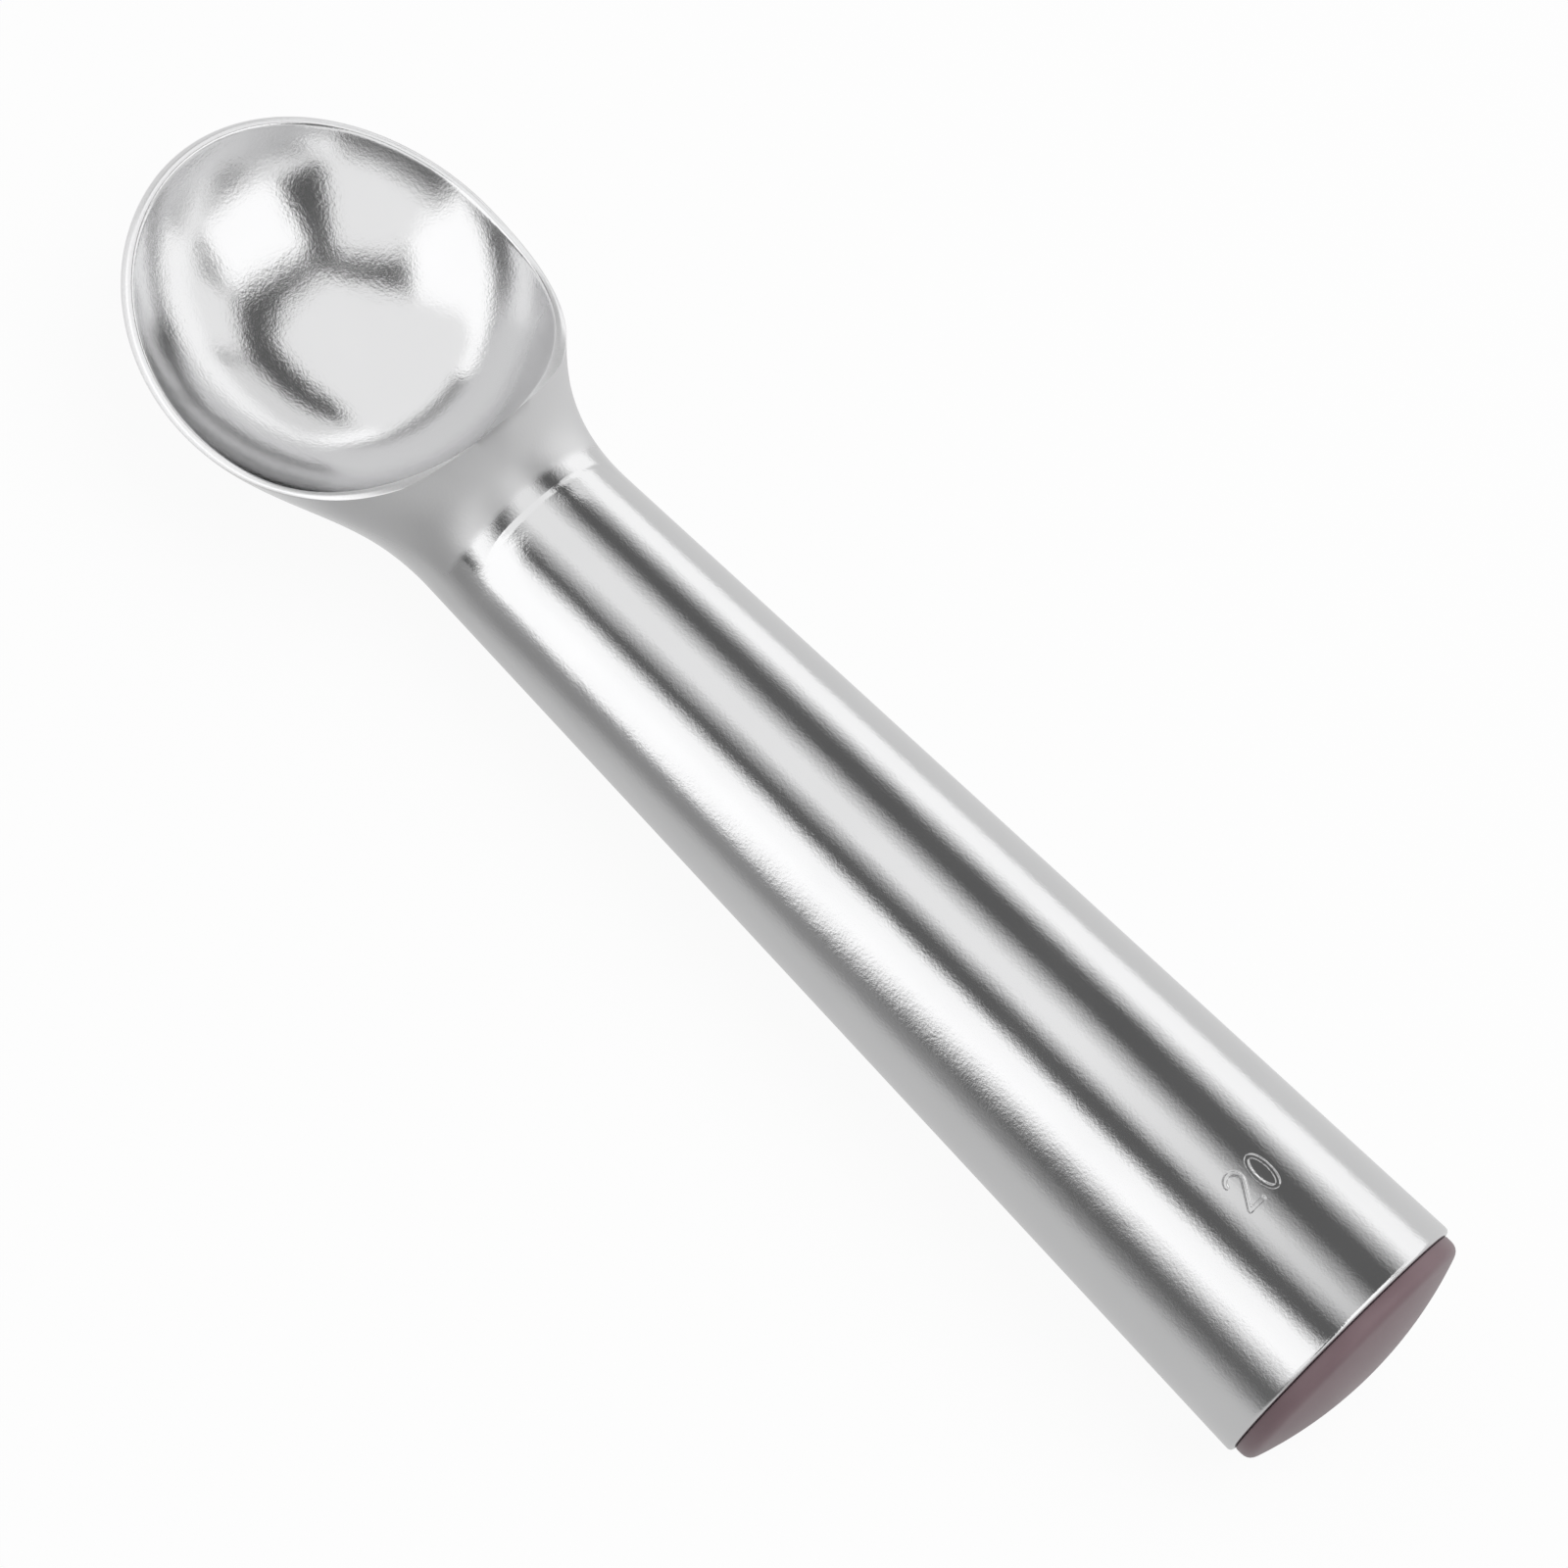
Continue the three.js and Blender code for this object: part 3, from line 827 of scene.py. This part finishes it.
skins = (
    ("buffed", buffed_bowl, len(bowl_skin)),
    ("ground", ground_lip, len(lip_skin)),
    ("polished", polished_aluminium, len(outer_skin)),
    ("cast", cast_bore, len(inner_skin) + 1),
)
for name, build, _ in skins:
    casting.data.materials.append(finish(name + "_aluminium", build))
face_kinds = np.repeat(np.arange(len(skins)), [len(turns) * rows for _, _, rows in skins])
casting.data.polygons.foreach_set("material_index", face_kinds.astype(np.int32))
print("faces of each finish:", np.bincount(face_kinds))

# %% [markdown]
# ## Plum plastic, turned metal, rubber and liquid
#
# The cap is moulded in a greyish plum with a fine, soft sheen. The pieces inside are seen only when the
# handle is cut open: the plug keeps the rings of the lathe, the ring is matt rubber and the liquid is
# nearly clear.

# %% The other finishes


def plum_plastic(nodes):
    clouds = nodes.noise(160, detail=3)
    grain = nodes.noise(5200, detail=2)
    return {
        "Base Color": nodes.tint(clouds, (0.170, 0.112, 0.126, 1), (0.212, 0.146, 0.160, 1)),
        "Roughness": 0.30 + 0.10 * grain,
        "Specular IOR Level": 0.3,
        "Normal": nodes.bump(grain, 3e-6),
    }


def turned_aluminium(nodes):
    settings = {"wave_type": "RINGS", "rings_direction": "X"}
    sockets = {"Vector": nodes.place(), "Scale": 900, "Distortion": 0.4}
    rings = nodes.add("ShaderNodeTexWave", settings, sockets)
    return {
        "Base Color": nodes.tint(rings, (0.60, 0.61, 0.62, 1), (0.74, 0.75, 0.76, 1)),
        "Metallic": 1.0,
        "Roughness": 0.32 + 0.12 * rings,
        "Normal": nodes.bump(rings, 1e-5),
    }


def seal_rubber(nodes):
    grain = nodes.noise(2400, detail=2)
    return {
        "Base Color": nodes.tint(grain, (0.022, 0.022, 0.024, 1), (0.040, 0.040, 0.043, 1)),
        "Roughness": 0.62 + 0.16 * grain,
        "Normal": nodes.bump(grain, 1e-5),
    }


def heat_fluid(nodes):
    clouds = nodes.noise(70, detail=1)
    return {
        "Base Color": nodes.tint(clouds, (0.70, 0.81, 0.82, 1), (0.78, 0.85, 0.86, 1)),
        "Roughness": 0.03 + 0.03 * clouds,
        "Transmission Weight": 0.8,
        "IOR": 1.38,
    }


cap.data.materials.append(finish("plum_plastic", plum_plastic))
plug.data.materials.append(finish("turned_aluminium", turned_aluminium))
ring.data.materials.append(finish("seal_rubber", seal_rubber))
fluid.data.materials.append(finish("heat_fluid", heat_fluid))
print("finishes:", sorted(material.name for material in bpy.data.materials if material.users))

# %% [markdown]
# ## Each piece stands for its solid
#
# Nothing moves on this scoop, so every piece rides on the one body. Each fine piece hides the plain
# solid of the frame that it was made after, and is shown in its place.

# %% Ride on the body and hide the solid
pieces = (
    (casting, "scoop_casting", "polished_aluminium"),
    (cap, "end_cap", "plum_plastic"),
    (plug, "seal_plug", "turned_aluminium"),
    (ring, "plug_seal_ring", "seal_rubber"),
    (fluid, "heat_fluid", "heat_fluid"),
)
for piece, node, slot in pieces:
    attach(piece, "root")
    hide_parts(node)
    low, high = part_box(node)
    corners = np.array([vertex.co for vertex in piece.data.vertices])
    off = max(np.abs(corners.min(0) - low).max(), np.abs(corners.max(0) - high).max())
    print(piece.name, "differs from its solid's box by", round(off / METRES, 3), "mm")

# %% [markdown]
# ## A pale floor and a white room
#
# The floor and the room look white to the camera, and metal mirrors that white too. Only the part of
# the light that falls on matt surfaces is set lower, so that colours come out as they are written. The
# floor keeps some of its own shading under the white, which leaves the shadow where the scoop lies.

# %% Floor, room and one soft lamp
FLOOR_HALF_SIZE = 3.0
FLOOR_WHITE = 0.92
ROOM_LEVEL = 0.62
LAMP_POWER = 5.5
LAMP_SIZE = 0.9
LAMP_PLACE = Vector((-0.25, -0.35, 1.1))


def seen_directly(nodes):
    """1 for rays from the camera, off a mirror or through glass, 0 for light on matt surfaces."""
    camera_ray, mirrored, through_glass = (nodes.add("ShaderNodeLightPath", output=name) for name in (
        "Is Camera Ray", "Is Glossy Ray", "Is Transmission Ray",
    ))
    settings = {"operation": "ADD", "use_clamp": True}
    return nodes.add("ShaderNodeMath", settings, {0: camera_ray + mirrored, 1: through_glass})


def stage_mesh(name, corners, faces, material):
    mesh = bpy.data.meshes.new(name)
    mesh.from_pydata([tuple(corner) for corner in corners], [], faces)
    mesh.materials.append(material)
    item = bpy.data.objects.new(name, mesh)
    bpy.context.scene.collection.objects.link(item)
    return item


def floor_material():
    material = bpy.data.materials.new("pale_floor")
    material.use_nodes = True
    nodes = Nodes(material.node_tree)
    matt = nodes.add("ShaderNodeBsdfDiffuse", None, {"Color": (0.86, 0.86, 0.86, 1)})
    white = nodes.add("ShaderNodeEmission", None, {"Color": (1, 1, 1, 1), "Strength": 1.0})
    share = seen_directly(nodes) * FLOOR_WHITE
    surface = nodes.add("ShaderNodeMixShader", None, {0: share, 1: matt, 2: white})
    nodes.add("ShaderNodeOutputMaterial", None, {"Surface": surface})
    return material


half = FLOOR_HALF_SIZE
floor_corners = [(-half, -half, 0), (half, -half, 0), (half, half, 0), (-half, half, 0)]
stage_mesh("floor", floor_corners, [(0, 1, 2, 3)], floor_material())

world = bpy.data.worlds.new("white_room")
bpy.context.scene.world = world
world.use_nodes = True
room = Nodes(world.node_tree)
direct = seen_directly(room)
matt_light, white_room = (
    room.add("ShaderNodeBackground", None, {"Color": (1, 1, 1, 1), "Strength": strength})
    for strength in (ROOM_LEVEL, 1.0)
)
room.add("ShaderNodeOutputWorld", None, {
    "Surface": room.add("ShaderNodeMixShader", None, {0: direct, 1: matt_light, 2: white_room}),
})

lamp_data = bpy.data.lights.new("soft_lamp", "AREA")
lamp_data.energy = LAMP_POWER
lamp_data.size = LAMP_SIZE
lamp = bpy.data.objects.new("soft_lamp", lamp_data)
lamp.location = LAMP_PLACE
lamp.rotation_euler = (-LAMP_PLACE).to_track_quat("-Z", "Y").to_euler()
lamp.visible_glossy = False
bpy.context.scene.collection.objects.link(lamp)
print("room at", ROOM_LEVEL, "with a lamp of", LAMP_POWER, "watts")

# %% [markdown]
# ## The light tent
#
# A scoop like this is photographed in a small tent of white cloth: panels of slightly different
# brightness, with dark gaps where they meet and where the lens looks in. Those gaps draw the dark arms
# in the bowl. Each panel is a card that only mirrors can see, so it changes neither the light on matt
# surfaces nor the picture behind the scoop. A card keeps its brightness at its corners, and cloth that
# darkens towards one side has corners that differ.

# %% Cards, and the tent's roof
TENT_HEIGHT = 300.0
DARK = 0.10
DIM = 0.30
PALE = 0.85
WHITE = 1.08
CLOTH_STRENGTH = 1.21


def glowing_cloth():
    """A material that shines as bright as its mesh says at each corner."""
    material = bpy.data.materials.new("glowing_cloth")
    material.use_nodes = True
    nodes = Nodes(material.node_tree)
    glow = nodes.add("ShaderNodeAttribute", {"attribute_name": "glow"}, output="Color")
    cloth_shader = nodes.add("ShaderNodeEmission", None, {"Color": glow, "Strength": CLOTH_STRENGTH})
    nodes.add("ShaderNodeOutputMaterial", None, {"Surface": cloth_shader})
    return material


cloth = glowing_cloth()


def card(name, brightness, corners, faces=None):
    """A panel with corners in millimetres that only mirrors see, of one brightness or one for each corner."""
    item = stage_mesh(name, np.array(corners) * METRES, faces or [tuple(range(len(corners)))], cloth)
    glow = item.data.color_attributes.new("glow", "FLOAT_COLOR", "POINT")
    for corner, level in zip(glow.data, np.broadcast_to(brightness, len(corners))):
        corner.color = (level, level, level, 1)
    item.visible_camera = False
    item.visible_diffuse = False
    item.visible_shadow = False


roof_cards = (
    ("roof", PALE, [
        (-50, 15), (95, 140), (420, 320), (640, 320), (640, -300), (335, -280), (230, -208),
        (0, -200), (-45, -110),
    ]),
    ("roof_left", PALE, [(-55, 64), (48, 192), (52, 640), (-380, 640), (-390, 310)]),
    ("roof_front", WHITE, [(49, 270), (140, 165), (420, 320), (640, 320), (640, 640), (52, 640)]),
    ("gap_end", (DARK, DARK, 0.6, 0.5), [(48, 192), (95, 140), (140, 165), (49, 270)]),
    ("roof_back", WHITE, [(-92, 12), (-130, 36), (-400, 80), (-500, 0), (-500, -390), (-130, -248)]),
    ("roof_right", PALE, [(-130, -248), (0, -350), (-80, -640), (-600, -640), (-520, -446), (-280, -400)]),
    ("roof_nose", 0.72, [(15, -355), (250, -316), (335, -280), (430, -286), (430, -640), (-40, -640)]),
    ("roof_corner", WHITE, [(430, -286), (640, -300), (640, -640), (430, -640)]),
    ("gap_lens", DARK, [(-60, 40), (-55, 64), (48, 192), (95, 140), (-50, 15)]),
    ("gap_left", DARK, [
        (-60, 40), (-55, 64), (-390, 310), (-470, 330), (-400, 80), (-130, 36), (-92, 12),
    ]),
    ("gap_middle", DARK, [
        (-92, 12), (-60, 40), (-50, 15), (-45, -110), (0, -200), (0, -350), (-130, -248),
    ]),
    ("gap_right", DARK, [(0, -200), (230, -208), (335, -280), (250, -316), (15, -355), (0, -350)]),
    ("gap_back", DIM, [(-130, -248), (-500, -390), (-520, -446), (-280, -400)]),
    ("gap_nose", 0.22, [(0, -350), (15, -355), (-40, -640), (-80, -640)]),
)
for name, brightness, corners in roof_cards:
    card(name, brightness, [(x, y, TENT_HEIGHT) for x, y in corners])
print(len(roof_cards), "cards in the roof")

# %% [markdown]
# ## Walls and table
#
# The tent's walls are white towards the right and dim towards both ends. On the left the cloth goes
# from dark behind the butt end to white beside the bowl, and it is brighter further up. The sheet on
# the table is grey beside the handle, darker further out and paler beside the bowl. Each of the two is
# a formula, worked out where its rows and columns cross. The table's columns slant, because the handle
# mirrors the table at a slant.

# %% Walls and table
WALL = 640.0
WALL_TOP = 330.0
WALL_SHADE = 0.12
WALL_CHANGE = (85, 205)
WALL_RISE = 0.34
GLOW_HEIGHT = (90, 360)
GLOW_ENDS = (-WALL, 60)
GLOW_SHARES = (0.3, 0.9)
TABLE_LIFT = 0.3
TABLE_SLANT = 0.2
TABLE_GREY = 0.51
TABLE_SHADE = 0.25
TABLE_PALE = 0.62
TABLE_FAR = (30, 450)
TABLE_REACH = 44
TABLE_REACH_LIMITS = (20, 100)
TABLE_FADE = (0.5, 1.4)
TABLE_BOWL = (34, 62)


def wall(name, brightness, first, second):
    """An upright card over a line on the table, from the line's first end along it and back on top."""
    card(name, brightness, [(*first, 0), (*second, 0), (*second, WALL_TOP), (*first, WALL_TOP)])


def sheet(name, levels, places):
    """A card of rows and columns, with a brightness for each place."""
    rows, columns = np.shape(levels)
    index = np.arange(rows * columns).reshape(rows, columns)
    corners = np.stack([index[:-1, :-1], index[:-1, 1:], index[1:, 1:], index[1:, :-1]], -1)
    faces = [tuple(int(i) for i in face) for face in corners.reshape(-1, 4)]
    card(name, np.ravel(levels), np.reshape(places, (-1, 3)), faces)


def blend(first, second, share):
    return first + (second - first) * share


def wall_level(x, z):
    """White spreads from beside the bowl, and a softer glow from the wall's top."""
    beside_bowl = smooth_step(x + WALL_RISE * z, *WALL_CHANGE)
    upper_glow = smooth_step(z, *GLOW_HEIGHT) * np.interp(x, GLOW_ENDS, GLOW_SHARES)
    return blend(WALL_SHADE, WHITE, np.maximum(beside_bowl, upper_glow))


def table_level(x, y):
    """The grey reaches further from the handle at its thick end."""
    shade = blend(TABLE_SHADE, wall_level(x + TABLE_SLANT * WALL, 0), smooth_step(y, *TABLE_FAR))
    reach = np.clip(TABLE_REACH - x / 2, *TABLE_REACH_LIMITS)
    level = blend(TABLE_GREY, shade, smooth_step(y / reach, *TABLE_FADE))
    return blend(level, TABLE_PALE, smooth_step(x, *TABLE_BOWL))


wall("wall_back", (0.40, 0.40, 0.80, 0.80), (-WALL, -WALL), (-WALL, WALL))
wall("wall_nose", DIM, (WALL, -WALL), (WALL, 120))
wall("wall_front", WHITE, (WALL, 120), (WALL, WALL))
wall("wall_right", 0.98, (-WALL, -WALL), (WALL, -WALL))

x, z = np.meshgrid([-WALL, *range(-100, 240, 20), WALL], np.linspace(0, WALL_TOP, 12))
sheet("wall_left", wall_level(x, z), np.stack([x, np.full_like(x, WALL), z], -1))
x, y = np.meshgrid([-WALL, *range(-120, 90, 10), WALL], [*range(0, 160, 10), *range(160, 680, 40)])
sheet("table_left", table_level(x, y), np.stack([x + TABLE_SLANT * y, y, np.full_like(x, TABLE_LIFT)], -1))
right_half = ((-WALL, -WALL), (WALL, -WALL), (WALL, 0), (-WALL, 0))
card("table_right", 0.60, [(*corner, TABLE_LIFT) for corner in right_half])
print("tent is", 2 * WALL, "mm wide and", WALL_TOP, "mm high")

# %% [markdown]
# ## Canopy
#
# A striped canopy runs along the handle, a centimetre above it, up to the shoulder. A cone mirrors each
# stripe as one long line, so that is the easiest way to lay the handle's dark and white bands where
# they belong.

# %% Canopy
CANOPY_LIFT = 10.0
CANOPY_MIDDLE = {-2.0: 0.58, 40.0: PALE, 123.0: 0.81}


def over_handle(x, y):
    """A place of the canopy, in millimetres of the table's frame."""
    return to_table((x, y, handle_radius(x) + CANOPY_LIFT)) / METRES


stripe_edges = {
    -2.0: (36, 17, 11.8, 7.8, 3.3, 1, -5, -13, -20, -29, -36, -46),
    40.0: (36, 17.3, 12.8, 8.6, 4, 0, -7, -15.5, -20, -29, -36, -46),
    123.0: (36, 20, 13, 11.5, 4.5, -2, -8.5, -13, -20, -29, -36, -46),
}
stripe_levels = [
    (WHITE, 1.0, DARK, DARK, middle, middle, DARK, DARK, 0.46, 0.88, 1.0, 1.0)
    for middle in CANOPY_MIDDLE.values()
]
stripe_places = [[over_handle(x, y) for y in edges] for x, edges in stripe_edges.items()]
sheet("canopy", stripe_levels, stripe_places)
print("canopy from x", min(stripe_edges), "to", max(stripe_edges))

# %% [markdown]
# ## The camera
#
# The lens is long and stands above the handle's side, turned so that the scoop runs from corner to
# corner. Its place was worked out from the handle's taper and the rim, so it is written in the handle's
# own frame.

# %% Camera
LENS = 112.5
SENSOR = 36.0
CAMERA_PLACE = (-17.389, 175.391, 479.130)
CAMERA_RIGHT = np.array([-0.69637, -0.70847, 0.11465])
CAMERA_FORWARD = np.array([0.19223, -0.33804, -0.92129])


def on_table(direction):
    """A direction of the handle's own frame, as the scoop lies."""
    return Vector(to_table(direction) - to_table([0, 0, 0])).normalized()


forward = on_table(CAMERA_FORWARD)
right = on_table(CAMERA_RIGHT)
camera_data = bpy.data.cameras.new("camera")
camera_data.lens = LENS
camera_data.sensor_width = SENSOR
camera = bpy.data.objects.new("camera", camera_data)
turn = Matrix((right, right.cross(forward), -forward)).transposed()
camera.matrix_world = Matrix.Translation(Vector(to_table(CAMERA_PLACE))) @ turn.to_4x4()
bpy.context.scene.collection.objects.link(camera)
bpy.context.scene.camera = camera
bpy.context.scene.view_settings.view_transform = "Standard"
print("camera at", [round(value, 3) for value in camera.location])
